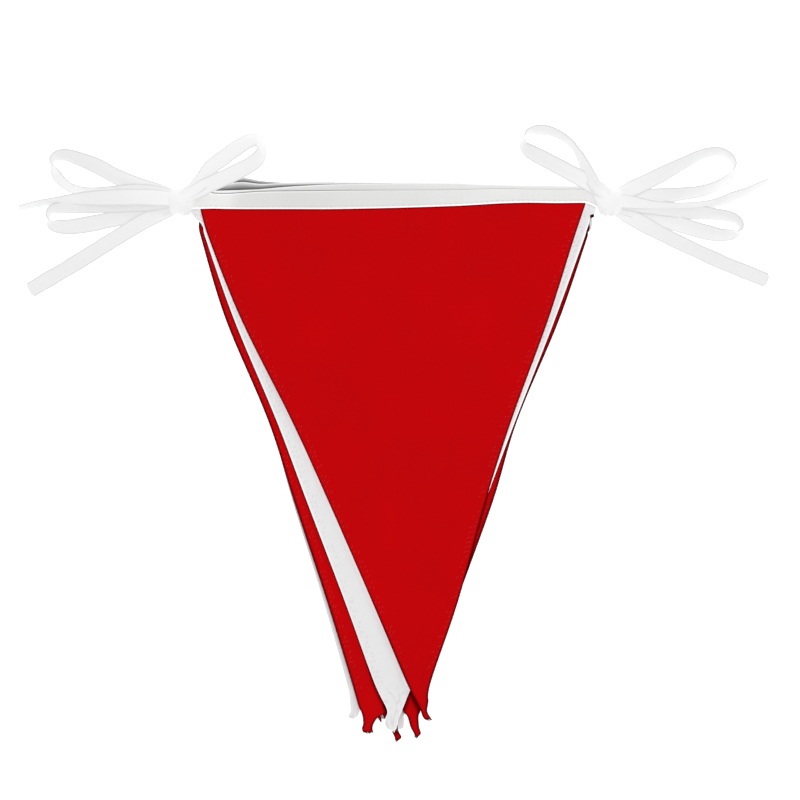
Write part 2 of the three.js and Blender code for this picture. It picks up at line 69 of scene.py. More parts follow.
# Front to back, in millimetres. left and right are the two sides at the levels, a shoulder has
# places between a corner and the first level, tail has the rows below the levels (height, left
# and right side), and a shred is torn cloth at the tip: its root's ends, height and end point.
PENNANTS = [
    {
        "colour": "red",
        "corners": (-97.2, 95.2),
        "left": (-92.5, -76.5, -51.5, -33.3, -11.5, 5.5),
        "right": (89, 76.3, 58, 45.3, 31.5, 18),
        "tail": [(-134.6, 10.7, 16.6), (-139, 12.9, 16), (-141.6, 13.8, 17.2), (-143.4, 15.0, 18.5)],
    },
    {
        "colour": "white",
        "corners": (-103.6, 100.9),
        "left_shoulder": [(-101.8, 109), (-98.9, 105.8), (-96.8, 104), (-95.3, 101.2)],
        "right_shoulder": [(99.7, 108.6), (97.5, 107.2), (96.8, 104.4), (95.1, 99.8)],
        "left": (-94.1, -80, -59, -44, -25, -10.5),
        "right": (94, 79.5, 60, 45, 26, 9.3),
        "tail": [
            (-138, -4, 3.7), (-142.4, -4.6, 1.9), (-145.4, -5, 1.1), (-147.8, -3.9, 0.6),
            (-148.8, -2, 0),
        ],
    },
    {
        "colour": "red",
        "corners": (-96.9, 99),
        "left_shoulder": [(-97.8, 104.6)],
        "right_shoulder": [(99.3, 107.6), (96.8, 105.4), (97.2, 102.4), (96.2, 99.2)],
        "left": (-96.5, -84.3, -63.3, -50.5, -34, -21.8),
        "right": (93.6, 77, 56, 39, 17, -1.5),
        "tail": [
            (-136, -18.4, -5), (-139.6, -16.8, -4), (-142, -16.1, -8.4), (-145.6, -15.8, -10.8),
            (-147.8, -16.5, -11.3), (-149.9, -15.8, -10.8),
        ],
        "shreds": [((-9.6, -7.2), -141, (-6.9, -144.6)), ((-6.6, -4.1), -139.4, (-5, -142.9))],
    },
    {
        "colour": "white",
        "corners": (-99, 98),
        "right_shoulder": [(98.6, 105.4), (97.9, 101.6), (95, 98.4)],
        "left": (-96, -83, -62.8, -51.3, -36, -24.6),
        "right": (86, 68, 45.5, 27.5, 5, -13.5),
        "tail": [
            (-130.4, -23, -16.5), (-136.7, -22.5, -17.6), (-139.8, -22.5, -17.8), (-142, -23.6, -19),
            (-143, -22.8, -20.6),
        ],
    },
    {
        "colour": "red",
        "corners": (-98, 96.5),
        "right_shoulder": [(96.2, 104), (96.4, 100)],
        "left": (-90.5, -74.5, -54, -37.5, -17, -1),
        "right": (95.5, 81.8, 61, 49, 31, 17.4),
        "tail": [
            (-138.5, 3.9, 12.8), (-141.7, 6.2, 11.7), (-147.2, 7.9, 12), (-150.4, 9.6, 12.9),
            (-152.2, 9.9, 11.2),
        ],
    },
    {
        "colour": "white",
        "corners": (-97.5, 96),
        "left": (-91.2, -76, -57, -42, -23, -6.3),
        "right": (89, 75, 57.5, 43, 27, 12.2),
        "tail": [(-140, 0.9, 5), (-143.7, 0.9, 4.7), (-148.2, 1.6, 4.3)],
    },
    {
        "colour": "red",
        "corners": (-97, 96),
        "left": (-91.5, -77, -59, -44.5, -26.5, -11.2),
        "right": (88.5, 74, 56, 41, 22, 9.5),
        "tail": [(-145, -2.7, 2.3), (-149, -1.6, 1.6), (-152.2, -0.1, 3.2), (-153.9, 0.1, 1.6)],
    },
    {
        "colour": "white",
        "corners": (-97, 95),
        "left": (-91.5, -77.5, -60, -46, -28.5, -13),
        "right": (87, 71, 52, 36.5, 16, 1.5),
        "tail": [(-138.7, -7.4, -3.8), (-143.2, -8, -4)],
    },
]
LAST = len(PENNANTS) - 1

# The heading tape across the stack: x, its front layer's lower and upper edge, and how far the
# second, third and fourth layer stand above the front one there.
TAPE_ROWS = [
    (-106, 111.2, 119.4, 0, 0, 0),
    (-98, 111.6, 120.0, 0.5, 1.0, 1.2),
    (-91.5, 111.8, 119.3, 1.3, 3.0, 3.8),
    (-85, 111.7, 118.9, 1.8, 5.0, 6.4),
    (-76.5, 111.6, 119.5, 1.5, 5.5, 7.8),
    (-67.5, 111.6, 120.1, 1.3, 4.0, 5.7),
    (-57.5, 111.6, 120.3, 2.0, 4.1, 4.6),
    (-47.5, 111.6, 120.4, 2.6, 4.0, 4.5),
    (-30, 111.6, 120.6, 3.2, 4.0, 4.4),
    (0, 112.2, 120.8, 3.4, 3.8, 4.1),
    (28, 113.1, 121.0, 3.3, 3.5, 3.75),
    (42, 113.8, 121.3, 2.4, 2.6, 2.9),
    (52, 114.4, 121.5, 2.0, 2.1, 2.3),
    (66, 114.8, 121.3, 2.0, 2.1, 2.2),
    (80, 114.6, 121.2, 1.9, 2.0, 2.1),
    (92, 114.7, 121.2, 1.5, 1.7, 1.9),
    (96, 114.5, 120.7, 0.8, 1.0, 1.2),
    (101, 112.2, 118.6, 0.2, 0.3, 0.4),
    (106, 111.6, 119, 0, 0, 0),
]
# How much of its rise each layer has; the layers behind the fourth have a share of the fourth's.
RISE_SHARE = (0, 1, 1, 1, 0.5, 0.75, 0.3, 0.6)
# How high the heading bends up at its ends, and where that starts along and up it: start, reach.
TAPE_LIFT = 1.5
LIFT_ALONG = (76, 24)
LIFT_UP = (60, 45)

# The fan that all pennants share, which carries their waves and how they sink beside each other.
FAN_TOP = 126
FAN_FOOT = -160
FAN_TOP_SIDES = (-107, 107)
FAN_FOOT_SIDES = (-33, 26)
COLUMNS = 17
# Where a pennant sinks beside and below the one under it: start and reach, in columns and in mm.
SINKS = (2.1, 2.3)
TIP_SINKS = (14, 16)


def smooth(t):
    """A soft step from 0 to 1 as t goes from 0 to 1."""
    t = np.clip(t, 0, 1)
    return t * t * (3 - 2 * t)


def eased(distance, start, reach):
    """A soft step from 0 where the distance is start to 1 where it is reach further."""
    return smooth((distance - start) / reach)


def curve_through(points, steps):
    """A smooth line through the points, with that many steps from each to the next."""
    p = np.asarray(points, float)
    p = np.vstack([2 * p[0] - p[1], p, 2 * p[-1] - p[-2]])
    t = np.linspace(0, 1, steps, endpoint=False)[:, None]
    spans = [
        0.5 * (2 * b + (c - a) * t + (2 * a - 5 * b + 4 * c - d) * t**2 + (3 * b - a - 3 * c + d) * t**3)
        for a, b, c, d in zip(p, p[1:], p[2:], p[3:])
    ]
    return np.vstack([*spans, p[-2]])


UNEVEN_WAVES = 14
UNEVEN_LENGTHS = (1.4, 3.6)
UNEVEN_HEIGHT = 0.8


def uneven(u, v, seed, size):
    """A smooth uneven field from about -1 to 1, whose humps are about size across."""
    rng = np.random.default_rng(seed)
    total = 0
    for _ in range(UNEVEN_WAVES):
        angle, start = rng.uniform(0, math.tau, 2)
        length = rng.uniform(*UNEVEN_LENGTHS) * size
        total = total + np.sin(math.tau * (u * math.cos(angle) + v * math.sin(angle)) / length + start)
    return total / math.sqrt(UNEVEN_WAVES) * UNEVEN_HEIGHT


tape_line = curve_through(TAPE_ROWS, 10)


def tape_row(x, column):
    return np.interp(x, tape_line[:, 0], tape_line[:, column])


def tape_rise(x, layer):
    return RISE_SHARE[layer] * tape_row(x, 2 + min(max(layer, 1), 3))


def tape_low(x, layer):
    return tape_row(x, 1) + tape_rise(x, layer)


def tape_high(x, layer):
    return tape_row(x, 2) + tape_rise(x, layer)


def side_line(layer, side):
    """The x of one side of a pennant at each height, from its foot up; side 0 is left, 1 right."""
    pennant = PENNANTS[layer]
    name = ("left", "right")[side]
    corner = pennant["corners"][side]
    rows = [(corner, tape_low(corner, layer))]
    rows += pennant.get(name + "_shoulder", [])
    rows += zip(pennant[name], LEVELS)
    rows += [(row[1 + side], row[0]) for row in pennant["tail"]]
    return curve_through(rows, 8)[::-1]


side_lines = [[side_line(layer, side) for side in (0, 1)] for layer in range(len(PENNANTS))]


def side_x(layer, side, y):
    line = side_lines[layer][side]
    return np.interp(y, line[:, 1], line[:, 0])


def foot(layer):
    return PENNANTS[layer]["tail"][-1][0]


def fan_column(x, y):
    up = (y - FAN_FOOT) / (FAN_TOP - FAN_FOOT)
    left = FAN_FOOT_SIDES[0] + (FAN_TOP_SIDES[0] - FAN_FOOT_SIDES[0]) * up
    right = FAN_FOOT_SIDES[1] + (FAN_TOP_SIDES[1] - FAN_FOOT_SIDES[1]) * up
    return COLUMNS * (x - left) / (right - left)


def cover(layer, x, y):
    """How much of this pennant's thickness lies under a point: 1 over it and 0 well beside it."""
    column = fan_column(x, y)
    left = fan_column(side_x(layer, 0, y), y)
    right = fan_column(side_x(layer, 1, y), y)
    beside = np.maximum(0, np.maximum(left - column, column - right))
    below = np.maximum(0, foot(layer) - y)
    return (1 - eased(beside, *SINKS)) * (1 - eased(below, *TIP_SINKS))


def lift(x, y):
    """How far the heading bends up towards the knots at its ends."""
    return TAPE_LIFT * eased(np.abs(x), *LIFT_ALONG) * eased(y, *LIFT_UP)


# The pennants' soft waves: how high the front one's are, how many lie side by side, where they
# start and over which reach they grow downwards, and how much they lean.
WAVE_HEIGHT = 2.0
WAVE_COUNT = 2.6
WAVE_TOP = 104
WAVE_REACH = 90
WAVE_LEAN = 0.001


def underside(layer, x, y):
    """The height at which a pennant lies on the ones below it."""
    across = fan_column(x, y) / COLUMNS
    wave = 0.5 + 0.5 * np.sin(math.tau * (WAVE_COUNT * across - WAVE_LEAN * y))
    wave *= eased(-y, -WAVE_TOP, WAVE_REACH)
    stacked = sum(PITCH * cover(below, x, y) for below in range(layer + 1, len(PENNANTS)))
    return lift(x, y) + stacked + WAVE_HEIGHT * (LAST - layer) / LAST * wave


# How high the small creases stand on the whole face and in its tail, and where down the cloth
# the tail's grow: start and reach. Both run down the cloth, along which they are drawn out.
FACE_CREASE = 0.12
TAIL_CRUMPLE = 0.26
CRUMPLES = (108, 26)
FACE_STRETCH = 0.22
TAIL_STRETCH = 0.3
# The face sinks a little between the hems and steps up over each, beside the hem's inner edge.
FACE_SINK = 0.1
HEM_STEP = 0.24
HEM_STEP_FROM = -0.4
HEM_STEP_WIDTH = 1.4
# A hem takes at most this share of a narrow tail, and the tape holds the cloth down this far.
HEM_SHARE = 0.3
HELD_DOWN = 4


def hem_width(width):
    return np.minimum(HEM, HEM_SHARE * width)


def free_of_tape(layer, x, y):
    """0 where the heading tape holds the cloth flat, and 1 a little below it."""
    return smooth((tape_low(x, layer) - y) / HELD_DOWN)


def tail_crumple(layer, x, y):
    """The long narrow folds in a pennant's tail, from about -1 to 1."""
    return uneven(x, y * TAIL_STRETCH, 60 + layer, 2)


def face_height(layer, x, y):
    """The height of the middle of a pennant's front cloth, with its hems and small creases."""
    width = side_x(layer, 1, y) - side_x(layer, 0, y)
    inside = np.minimum(x - side_x(layer, 0, y), side_x(layer, 1, y) - x)
    turned = 1 - eased(inside - hem_width(width), HEM_STEP_FROM, HEM_STEP_WIDTH)
    own = FACE_CREASE * uneven(fan_column(x, y) * 7, y * FACE_STRETCH, 40 + layer, 9)
    own += TAIL_CRUMPLE * eased(-y, *CRUMPLES) * tail_crumple(layer, x, y)
    own += HEM_STEP * turned - FACE_SINK
    return underside(layer, x, y) + LAYER / 2 + free_of_tape(layer, x, y) * own


# On each point, bands holds how far it is from the cloth's own edge and from a cloth lying on top,
# as shares of the width over which the painted edge shading and the painted shade show (0 at the
# edge, 1 where it ends), and how much painted light it gives out there, an emission as if the
# bright table lit it through or from below.
NO_BAND = 9.0


def thin_cloth(middle, flat, thickness, bands, closed=False):
    """Points, faces, flat places and bands of a thin cloth round a grid along its middle."""
    rows, columns = middle.shape[:2]
    if closed:
        around = np.vstack([middle[-1:], middle, middle[:1]])
        down = (around[2:] - around[:-2]) / 2
    else:
        down = np.gradient(middle, axis=0)
    normal = np.cross(down, np.gradient(middle, axis=1))
    normal /= np.maximum(np.linalg.norm(normal, axis=2, keepdims=True), 1e-9)
    half = np.broadcast_to(np.asarray(thickness) / 2, (rows, columns))[..., None]
    sides = (middle + normal * half, middle - normal * half)
    points = np.concatenate([side.reshape(-1, 3) for side in sides])
    front = np.arange(rows * columns).reshape(rows, columns)
    if closed:
        front = np.vstack([front, front[:1]])
    back = front + rows * columns
    a, b, c, d = front[:-1, :-1], front[1:, :-1], front[1:, 1:], front[:-1, 1:]
    e, f, g, h = back[:-1, :-1], back[1:, :-1], back[1:, 1:], back[:-1, 1:]
    quads = [(a, b, c, d), (h, g, f, e)]
    quads.append((front[1:, 0], front[:-1, 0], back[:-1, 0], back[1:, 0]))
    quads.append((front[:-1, -1], front[1:, -1], back[1:, -1], back[:-1, -1]))
    if not closed:
        quads.append((front[0, :-1], front[0, 1:], back[0, 1:], back[0, :-1]))
        quads.append((front[-1, 1:], front[-1, :-1], back[-1, :-1], back[-1, 1:]))
    faces = np.concatenate([np.stack([x.ravel() for x in quad], axis=1) for quad in quads])
    back_bands = bands.copy()
    back_bands[..., 1] = NO_BAND
    both_bands = np.concatenate([bands.reshape(-1, 3), back_bands.reshape(-1, 3)])
    return points, faces, np.concatenate([flat.reshape(-1, 2)] * 2), both_bands


def piece(name, parts, material):
    """One object from parts, each with points in millimetres, faces, flat places and bands."""
    faces = []
    first = 0
    for part in parts:
        faces += (part[1] + first).tolist()
        first += len(part[0])
    points, places, bands = (np.concatenate([part[i] for part in parts]) for i in (0, 2, 3))
    mesh = bpy.data.meshes.new(name)
    mesh.from_pydata((points * MM).tolist(), [], faces)
    places = np.column_stack([places * MM, np.zeros(len(points))])
    for attribute, values in (("place", places), ("bands", bands)):
        mesh.attributes.new(attribute, "FLOAT_VECTOR", "POINT").data.foreach_set("vector", values.ravel())
    mesh.shade_smooth()
    mesh.set_sharp_from_angle(angle=math.radians(50))
    mesh.materials.append(material)
    made = bpy.data.objects.new(name, mesh)
    bpy.context.scene.collection.objects.link(made)
    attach(made, "root")
    return made


def threads(starts, ends, thick, own=NO_BAND):
    """Short raised stitches, each from a start to its end on the face of a cloth."""
    along = ends - starts
    length = np.linalg.norm(along, axis=1, keepdims=True)
    along = along / length
    side = np.cross(np.array([[0, 0, 1.0]]), along)
    side /= np.linalg.norm(side, axis=1, keepdims=True)
    rise = np.cross(along, side)
    rings = []
    for share, height, size in ((0, -0.6, 0.5), (0.22, 0.35, 1), (0.78, 0.35, 1), (1, -0.6, 0.5)):
        middle = starts + along * length * share + rise * thick * height
        for s, u in ((-1, 0), (0, 1), (1, 0), (0, -1)):
            rings.append(middle + (side * s + rise * u * 0.8) * thick * size / 2)
    points = np.stack(rings, axis=1)
    faces = []
    for ring in range(3):
        for i in range(4):
            j = (i + 1) % 4
            faces.append((ring * 4 + i, ring * 4 + j, ring * 4 + 4 + j, ring * 4 + 4 + i))
    faces += [(3, 2, 1, 0), (12, 13, 14, 15)]
    faces = np.array(faces)[None] + np.arange(len(starts))[:, None, None] * 16
    points = points.reshape(-1, 3)
    return points, faces.reshape(-1, 4), points[:, :2], np.tile((own, NO_BAND, 0), (len(points), 1))


def weave_group():
    """Plain weave: each thread runs over and under its neighbours, some a little thicker."""
    group = bpy.data.node_groups.new("plain_weave", "ShaderNodeTree")
    socket = group.interface.new_socket
    socket("Place", in_out="INPUT", socket_type="NodeSocketVector")
    socket("Thread Pitch", in_out="INPUT", socket_type="NodeSocketFloat")
    socket("Height", in_out="OUTPUT", socket_type="NodeSocketFloat")
    socket("Slub", in_out="OUTPUT", socket_type="NodeSocketFloat")
    nodes, link = group.nodes, group.links.new
    given, result = nodes.new("NodeGroupInput"), nodes.new("NodeGroupOutput")

    def math_node(operation, first, second=None):
        node = nodes.new("ShaderNodeMath")
        node.operation = operation
        for socket_index, value in enumerate((first, second)):
            if value is None:
                continue
            if isinstance(value, (int, float)):
                node.inputs[socket_index].default_value = value
            else:
                link(value, node.inputs[socket_index])
        return node.outputs[0]

    split = nodes.new("ShaderNodeSeparateXYZ")
    link(given.outputs["Place"], split.inputs[0])
    waves = []
    thread_numbers = []
    for axis in (0, 1):
        count = math_node("DIVIDE", split.outputs[axis], given.outputs["Thread Pitch"])
        waves.append(math_node("SINE", math_node("MULTIPLY", count, math.pi)))
        thread_numbers.append(math_node("FLOOR", count))
    over = math_node("GREATER_THAN", math_node("MULTIPLY", *waves), 0)
    warp, weft = (math_node("ABSOLUTE", wave) for wave in waves)
    chosen = nodes.new("ShaderNodeMix")
    link(over, chosen.inputs["Factor"])
    link(warp, chosen.inputs["A"])
    link(weft, chosen.inputs["B"])
    link(chosen.outputs["Result"], result.inputs["Height"])
    slubs = []
    for number in thread_numbers:
        noise = nodes.new("ShaderNodeTexWhiteNoise")
        noise.noise_dimensions = "1D"
        link(number, noise.inputs["W"])
        slubs.append(noise.outputs["Value"])
    link(math_node("MULTIPLY", math_node("ADD", *slubs), 0.5), result.inputs["Slub"])
    return group


def mottle_group():
    """Soft large patches, as in cloth that was dyed, folded and handled."""
    group = bpy.data.node_groups.new("soft_mottle", "ShaderNodeTree")
    socket = group.interface.new_socket
    socket("Place", in_out="INPUT", socket_type="NodeSocketVector")
    socket("Patches Per Metre", in_out="INPUT", socket_type="NodeSocketFloat")
    socket("Mask", in_out="OUTPUT", socket_type="NodeSocketFloat")
    nodes, link = group.nodes, group.links.new
    given, result = nodes.new("NodeGroupInput"), nodes.new("NodeGroupOutput")
    noise = nodes.new("ShaderNodeTexNoise")
    noise.inputs["Detail"].default_value = 3
    link(given.outputs["Place"], noise.inputs["Vector"])
    link(given.outputs["Patches Per Metre"], noise.inputs["Scale"])
    spread = nodes.new("ShaderNodeMapRange")
    spread.inputs["From Min"].default_value = 0.3
    spread.inputs["From Max"].default_value = 0.7
    link(noise.outputs["Fac"], spread.inputs["Value"])
    link(spread.outputs["Result"], result.inputs["Mask"])
    return group


def band_group():
    """A soft band along an edge, from 1 on it to 0 where the distance reaches 1; it masks painted edge
    shading and painted shade.
    """
    group = bpy.data.node_groups.new("edge_band", "ShaderNodeTree")
    socket = group.interface.new_socket
    socket("Distance", in_out="INPUT", socket_type="NodeSocketFloat")
    socket("Mask", in_out="OUTPUT", socket_type="NodeSocketFloat")
    nodes, link = group.nodes, group.links.new
    given, result = nodes.new("NodeGroupInput"), nodes.new("NodeGroupOutput")
    fade = nodes.new("ShaderNodeMapRange")
    fade.interpolation_type = "SMOOTHSTEP"
    fade.inputs["To Min"].default_value = 1
    fade.inputs["To Max"].default_value = 0
    link(given.outputs["Distance"], fade.inputs["Value"])
    link(fade.outputs["Result"], result.inputs["Mask"])
    return group


weave, mottle, band = weave_group(), mottle_group(), band_group()


def cloth_material(name, light, deep, edge, painted_shade, pitch, bump, roughness, specular, painted_glow=0, painted_rim_light=0):
    """Woven cloth: light and deep are its dye shades, pitch its thread spacing in mm.

    The colour along its folded or woven edges is painted edge shading: painted shade where it is
    darker, a painted highlight where it is lighter. Where another cloth lies close on it the colour
    is multiplied by a painted shade colour. The glow is painted light, an even emission as if light
    came through the thin cloth, and the rim light is a painted highlight that glows along its edges.
    """
    material = bpy.data.materials.new(name)
    material.use_nodes = True
    nodes, link = material.node_tree.nodes, material.node_tree.links.new
    shader = nodes["Principled BSDF"]
    place = nodes.new("ShaderNodeAttribute")
    place.attribute_name = "place"
    threads_node = nodes.new("ShaderNodeGroup")
    threads_node.node_tree = weave
    threads_node.inputs["Thread Pitch"].default_value = pitch * MM
    link(place.outputs["Vector"], threads_node.inputs["Place"])
    patches = nodes.new("ShaderNodeGroup")
    patches.node_tree = mottle
    patches.inputs["Patches Per Metre"].default_value = 28
    link(place.outputs["Vector"], patches.inputs["Place"])
    dye = nodes.new("ShaderNodeMix")
    dye.data_type = "RGBA"
    dye.inputs["A"].default_value = (*light, 1)
    dye.inputs["B"].default_value = (*deep, 1)
    amount = nodes.new("ShaderNodeMix")
    amount.inputs["Factor"].default_value = 0.35
    link(patches.outputs["Mask"], amount.inputs["A"])
    link(threads_node.outputs["Slub"], amount.inputs["B"])
    link(amount.outputs["Result"], dye.inputs["Factor"])
    bands = nodes.new("ShaderNodeAttribute")
    bands.attribute_name = "bands"
    distances = nodes.new("ShaderNodeSeparateXYZ")
    link(bands.outputs["Vector"], distances.inputs[0])
    colour = dye
    masks = []
    # Painted edge shading along the cloth's own edges, then painted shade where other cloth lies on it.
    for axis, (blend, other) in enumerate((("MIX", edge), ("MULTIPLY", painted_shade))):
        masks.append(nodes.new("ShaderNodeGroup"))
        masks[-1].node_tree = band
        link(distances.outputs[axis], masks[-1].inputs["Distance"])
        mixed = nodes.new("ShaderNodeMix")
        mixed.data_type = "RGBA"
        mixed.blend_type = blend
        link(masks[-1].outputs["Mask"], mixed.inputs["Factor"])
        link(colour.outputs["Result"], mixed.inputs["A"])
        mixed.inputs["B"].default_value = (*other, 1)
        colour = mixed
    # Painted light: the cloth glows in its own colour by the painted rim light at its edges, the even
    # painted glow and the painted light stored in its bands.
    painted_rim_and_glow = nodes.new("ShaderNodeMath")
    painted_rim_and_glow.operation = "MULTIPLY_ADD"
    link(masks[0].outputs["Mask"], painted_rim_and_glow.inputs[0])
    painted_rim_and_glow.inputs[1].default_value = painted_rim_light
    painted_rim_and_glow.inputs[2].default_value = painted_glow
    painted_light_strength = nodes.new("ShaderNodeMath")
    link(painted_rim_and_glow.outputs["Value"], painted_light_strength.inputs[0])
    link(distances.outputs[2], painted_light_strength.inputs[1])
    link(colour.outputs["Result"], shader.inputs["Base Color"])
    link(colour.outputs["Result"], shader.inputs["Emission Color"])
    link(painted_light_strength.outputs["Value"], shader.inputs["Emission Strength"])
    rough = nodes.new("ShaderNodeMapRange")
    rough.inputs["To Min"].default_value = roughness - 0.06
    rough.inputs["To Max"].default_value = roughness + 0.06
    link(threads_node.outputs["Height"], rough.inputs["Value"])
    link(rough.outputs["Result"], shader.inputs["Roughness"])
    raised = nodes.new("ShaderNodeBump")
    raised.inputs["Strength"].default_value = bump
    raised.inputs["Distance"].default_value = pitch * MM * 0.25
    link(threads_node.outputs["Height"], raised.inputs["Height"])
    link(raised.outputs["Normal"], shader.inputs["Normal"])
    shader.inputs["Specular IOR Level"].default_value = specular
    return material


# The red's dark edge colour is painted shade along its folded edges, and its dark colour for cloth on top
# is painted shade; the two dye shades are its own.
RED = {
    "light": (0.59, 0.002, 0.0034),
    "deep": (0.52, 0.0026, 0.0044),
    "edge": (0.08, 0.0006, 0.0016),
    "painted_shade": (0.18, 0.18, 0.4),
    "specular": 0,
}
# The white's lighter edge colour is a painted highlight along its folded edges, its faintly pink colour
# for cloth on top is painted shade, and its rim value is a painted highlight that glows along the edges.
WHITE = {
    "light": (0.875, 0.87, 0.87),
    "deep": (0.83, 0.825, 0.83),
    "edge": (0.92, 0.92, 0.92),
    "painted_shade": (0.885, 0.86, 0.868),
    "specular": 0.2,
    "painted_rim_light": 0.2,
}
cloths = {
    "red": cloth_material("red_polyester", pitch=0.45, bump=0.25, roughness=0.7, **RED),
    "white": cloth_material("white_polyester", pitch=0.45, bump=0.25, roughness=0.7, **WHITE),
}
# Stitches lie outside the painted edge shading and the painted shade, so these two black colours never
# show.
THREAD = {
    "edge": (0, 0, 0),
    "painted_shade": (0, 0, 0),
    "pitch": 0.2,
    "bump": 0.2,
    "roughness": 0.5,
    "specular": 0.1,
}
sewing_threads = {
    "red": cloth_material("red_sewing_thread", (0.68, 0.018, 0.024), (0.62, 0.01, 0.014), **THREAD),
    "white": cloth_material("white_sewing_thread", (0.8, 0.8, 0.8), (0.72, 0.72, 0.73), **THREAD),
}

# How wide the band of painted edge shading at a cloth's own edges is: at the tips, and above them
# for each colour. It is narrower on the front pennant and on the white ones below the second.
TIP_BANDS = {"red": 1.6, "white": 0.5}
EDGE_BANDS = {"red": 1.8, "white": 1.1}
TIP_TO_EDGE = (-110, -60)
LOW_WHITE_BAND = 0.4
FRONT_BAND = 1.1
# How far the painted shade under a covering cloth reaches at the tips and above them: heights, reaches.
PAINTED_SHADE_BAND = {
    "red": ((-138, -112), (3.4, 1.1)),
    "white": ((-138, -112), (4.5, 3.0)),
}
# How far the painted shade below the heading tape's open edge reaches.
TAPE_SHADE = 1.1
# The second pennant gets painted light beside the front one, an emission that makes it bright there: how
# bright, and how far that reaches.
PAINTED_CONTACT_LIGHT = 0.6
CONTACT_REACH = 2.4
# How wide the painted shade lines along the creases in a crumpled white tail show, as a share of its
# crumples' height.
CREASE_WIDTH = 0.3
# Where those painted crease lines start and how far down they grow, and how wide the band is without them.
CREASES = (112, 20)
NO_CREASE = 2
# The rows and columns of a pennant's face: finer rows from the tail's top down.
FACE_TOP = 118
ROW_STEP = 2.2
TAIL_FROM = -120
TAIL_STEP = 0.7
FACE_COLUMNS = 54
# A hem's cloth from its fold inwards, above and below, as shares of the hem's width.
HEM_COLUMNS = np.array((0.08, 0.25, 0.5, 0.75, 1, 1.15, 1.35))
UNDER_COLUMNS = np.array((0.08, 0.25, 0.6, 1))
# How far apart a hem's two cloths are within the tape.
HEM_PRESSED = 0.22
# How far and how finely a tip's cut end is uneven.
JAG = 0.35
JAG_SIZE = 0.8


def pennant_bands(layer, x, y):
    """How far points are from their own edge and from the cloths on top, as shares of the painted edge
    shading and painted shade bands, and their painted light.
    """
    inside = np.minimum(x - side_x(layer, 0, y), side_x(layer, 1, y) - x)
    colour = PENNANTS[layer]["colour"]
    upper_band = EDGE_BANDS[colour] if layer else FRONT_BAND
    if layer > 1 and colour == "white":
        upper_band = LOW_WHITE_BAND
    own = np.minimum(inside, y - foot(layer))
    own = own / np.interp(y, TIP_TO_EDGE, (TIP_BANDS[colour], upper_band))
    # Painted shade below the tape's open edge and beside every pennant that lies on top.
    painted_shade = (tape_low(x, layer) - y) / TAPE_SHADE
    reach = np.interp(y, *PAINTED_SHADE_BAND[colour])
    painted_light = np.zeros_like(x)
    for above in range(layer):
        beside = np.maximum(side_x(above, 0, y) - x, x - side_x(above, 1, y))
        beside = np.maximum(beside, foot(above) - y)
        painted_shade = np.minimum(painted_shade, beside / reach)
        # The second pennant gets painted light, an emission, beside the front one.
        if layer == 1:
            painted_light = PAINTED_CONTACT_LIGHT * (1 - np.clip(beside / CONTACT_REACH, 0, 1)) ** 2
    # White tails get painted shade lines along their creases.
    if colour == "white":
        crease_shade = np.abs(tail_crumple(layer, x, y)) / CREASE_WIDTH
        painted_shade = np.minimum(painted_shade, crease_shade + NO_CREASE * (1 - eased(-y, *CREASES)))
    return np.stack([own, painted_shade, painted_light], axis=-1)


def pennant_grid(layer):
    """The middle of a pennant's cloth: turned-under left hem, face, turned-under right hem."""
    upper = np.arange(0, 1, ROW_STEP / (FACE_TOP - TAIL_FROM))
    lower = np.append(np.arange(TAIL_FROM, foot(layer), -TAIL_STEP), foot(layer))
    inner = np.linspace(0, 1, FACE_COLUMNS)
    rows = []
    flats = []
    for number, row in enumerate([*upper, *lower]):
        from_top = number < len(upper)

        def height_at(x):
            if not from_top:
                return np.full_like(x, row)
            return tape_low(x, layer) + TUCK + (TAIL_FROM - tape_low(x, layer) - TUCK) * row

        guess = height_at(np.zeros(1))
        left, right = side_x(layer, 0, guess)[0], side_x(layer, 1, guess)[0]
        left = side_x(layer, 0, height_at(np.array([left])))[0]
        right = side_x(layer, 1, height_at(np.array([right])))[0]
        hem = hem_width(right - left)
        shares = HEM_COLUMNS * hem
        under = UNDER_COLUMNS * hem
        x = np.concatenate([
            left + under[::-1],
            [left],
            left + shares,
            left + shares[-1] + inner[1:-1] * (right - left - 2 * shares[-1]),
            right - shares[::-1],
            [right],
            right - under,
        ])
        y = height_at(x)
        rows.append((x, y))
        across = np.concatenate([
            -under[::-1],
            [0],
            x[5:-5] - left,
            [right - left],
            right - left + under,
        ])
        flats.append(np.column_stack([across - (right - left) / 2, y]))
    x = np.array([row[0] for row in rows])
    y = np.array([row[1] for row in rows])
    front = face_height(layer, x, y)
    drop = np.zeros(x.shape[1])
    drop[:4] = drop[-4:] = 1
    drop[4] = drop[-5] = 0.5
    apart = HEM_PRESSED + (HEM_RISE - HEM_PRESSED) * free_of_tape(layer, x, y)
    z = front - drop * apart
    bands = pennant_bands(layer, x, y)
    jag = JAG * uneven(x, y, 70 + layer, JAG_SIZE)
    y[-1] += jag[-1]
    y[-2] += jag[-1] * 0.5
    return np.stack([x, y, z], axis=2), np.array(flats), bands


# The hems' stitches, in millimetres: the first one's height, and their spacing, length, thickness
# and distances from the hem's fold.
STITCHES_FROM = 108
STITCH_SPACING = 2.5
STITCH_LENGTH = 1.9
STITCH_THICK = 0.28
STITCH_ROWS = (2.0, 3.7)
# How steeply the stitches rise to the right in the left and the right hem, in degrees.
STITCH_SLANTS = (62, 35)
# The share of stitches that stand out of the cloth, and the width above which a tail has any.
STITCH_SEEN = 0.6
STITCH_FROM_WIDTH = 17


